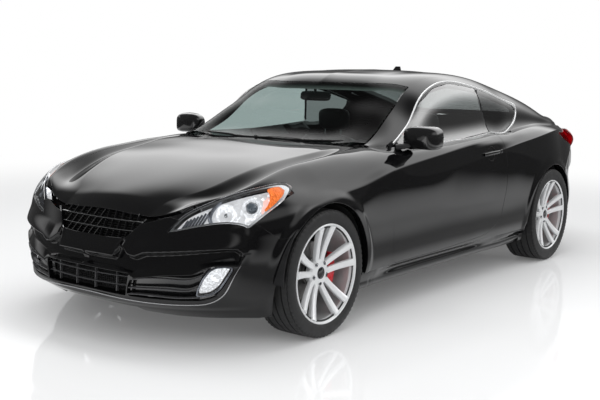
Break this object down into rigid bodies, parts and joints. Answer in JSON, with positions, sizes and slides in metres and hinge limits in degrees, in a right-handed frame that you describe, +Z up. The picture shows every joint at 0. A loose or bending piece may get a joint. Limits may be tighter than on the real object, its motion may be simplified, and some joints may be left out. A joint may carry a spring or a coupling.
{
  "type": "coupe car",
  "caption": "Parked two-door coupe with hinged doors, hood and boot lid, steered front wheels, turning wheels and a hollow cabin with seats.",
  "frame": {"origin": "on the ground under the middle of the bounding box", "axes": "+X forward, +Y to the left of the car, +Z up"},
  "size_m": [4.63, 2.05, 1.402],
  "materials": {
    "black_paint": "gloss black clear coat",
    "tinted_glass": "tinted",
    "clear_glass": "clear",
    "lamp_glass": "clear lamp lens",
    "tail_lamp_red": "red lens",
    "black_plastic": "textured",
    "gloss_black_plastic": "gloss",
    "tyre_rubber": "matt",
    "silver_wheel": "painted silver",
    "disc_iron": "ground",
    "caliper_red": "gloss red",
    "cast_steel": "as cast",
    "steel": "plain",
    "seat_leather": "black with red inserts",
    "alloy": "cast"
  },
  "bodies": {
    "car_body": {"cabin_mirror": "black_plastic", "centre_console": "black_plastic", "cowl": "black_plastic", "dashboard": "black_plastic", "engine": "alloy", "exhaust": "steel", "floor_pan": "steel", "fog_lamps": "black_plastic", "front_arch_liners": "black_plastic", "front_bumper": "black_paint", "front_crossmember": "cast_steel", "front_seats": "seat_leather", "headlamps": "lamp_glass", "left_body_side": "black_paint", "left_fender": "black_paint", "lower_grille": "black_plastic", "quarter_windows": "tinted_glass", "rear_arch_liners": "black_plastic", "rear_axle": "cast_steel", "rear_bumper": "black_paint", "rear_calipers": "caliper_red", "rear_seat": "seat_leather", "rear_window": "tinted_glass", "right_body_side": "black_paint", "right_fender": "black_paint", "roof_antenna": "black_paint", "roof_panel": "black_paint", "steering_column": "black_plastic", "tail_lamps": "tail_lamp_red", "upper_grille": "black_plastic", "windscreen": "clear_glass", "wipers": "black_plastic"},
    "left_steering_knuckle": {"left_knuckle": "cast_steel", "left_front_caliper": "caliper_red"},
    "right_steering_knuckle": {"right_knuckle": "cast_steel", "right_front_caliper": "caliper_red"},
    "front_left_wheel": {"front_left_rim": "silver_wheel", "front_left_tyre": "tyre_rubber", "front_left_brake_disc": "disc_iron"},
    "front_right_wheel": {"front_right_rim": "silver_wheel", "front_right_tyre": "tyre_rubber", "front_right_brake_disc": "disc_iron"},
    "rear_left_wheel": {"rear_left_rim": "silver_wheel", "rear_left_tyre": "tyre_rubber", "rear_left_brake_disc": "disc_iron"},
    "rear_right_wheel": {"rear_right_rim": "silver_wheel", "rear_right_tyre": "tyre_rubber", "rear_right_brake_disc": "disc_iron"},
    "left_front_door": {"left_door": "black_paint", "left_door_glass": "tinted_glass", "left_door_handle": "black_paint", "left_door_mirror": "gloss_black_plastic"},
    "right_front_door": {"right_door": "black_paint", "right_door_glass": "tinted_glass", "right_door_handle": "black_paint", "right_door_mirror": "gloss_black_plastic"},
    "front_hood": {"hood": "black_paint"},
    "rear_boot_lid": {"boot_lid": "black_paint"},
    "driver_steering_wheel": {"steering_wheel": "black_plastic"}
  },
  "joints": [
    {"name": "left_knuckle_steer", "type": "hinge", "parent": "car_body", "child": "left_steering_knuckle", "pos_m": [1.485, 0.775, 0.331], "axis": [0, 0, 1], "range_deg": [-33, 33]},
    {"name": "right_knuckle_steer", "type": "hinge", "parent": "car_body", "child": "right_steering_knuckle", "pos_m": [1.485, -0.775, 0.331], "axis": [0, 0, 1], "range_deg": [-33, 33]},
    {"name": "steering_wheel_turn", "type": "hinge", "parent": "car_body", "child": "driver_steering_wheel", "pos_m": [0.335, 0.37, 0.755], "axis": [-0.9135, 0, 0.4067], "range_deg": [-500, 500]},
    {"name": "front_left_wheel_spin", "type": "hinge", "parent": "left_steering_knuckle", "child": "front_left_wheel", "pos_m": [1.485, 0.795, 0.331], "axis": [0, 1, 0], "continuous": true},
    {"name": "front_right_wheel_spin", "type": "hinge", "parent": "right_steering_knuckle", "child": "front_right_wheel", "pos_m": [1.485, -0.795, 0.331], "axis": [0, 1, 0], "continuous": true},
    {"name": "rear_left_wheel_spin", "type": "hinge", "parent": "car_body", "child": "rear_left_wheel", "pos_m": [-1.335, 0.8, 0.339], "axis": [0, 1, 0], "continuous": true},
    {"name": "rear_right_wheel_spin", "type": "hinge", "parent": "car_body", "child": "rear_right_wheel", "pos_m": [-1.335, -0.8, 0.339], "axis": [0, 1, 0], "continuous": true},
    {"name": "left_door_hinge", "type": "hinge", "parent": "car_body", "child": "left_front_door", "pos_m": [0.852, 0.902, 0.6], "axis": [0, 0, -1], "range_deg": [0, 65]},
    {"name": "right_door_hinge", "type": "hinge", "parent": "car_body", "child": "right_front_door", "pos_m": [0.852, -0.902, 0.6], "axis": [0, 0, 1], "range_deg": [0, 65]},
    {"name": "hood_hinge", "type": "hinge", "parent": "car_body", "child": "front_hood", "pos_m": [0.862, 0, 0.945], "axis": [0, -1, 0], "range_deg": [0, 50]},
    {"name": "boot_lid_hinge", "type": "hinge", "parent": "car_body", "child": "rear_boot_lid", "pos_m": [-1.77, 0, 1.078], "axis": [0, 1, 0], "range_deg": [0, 70]}
  ],
  "couplings": [
    {"joint": "right_knuckle_steer", "follows": "left_knuckle_steer", "ratio": 1},
    {"joint": "steering_wheel_turn", "follows": "left_knuckle_steer", "ratio": 15}
  ]
}
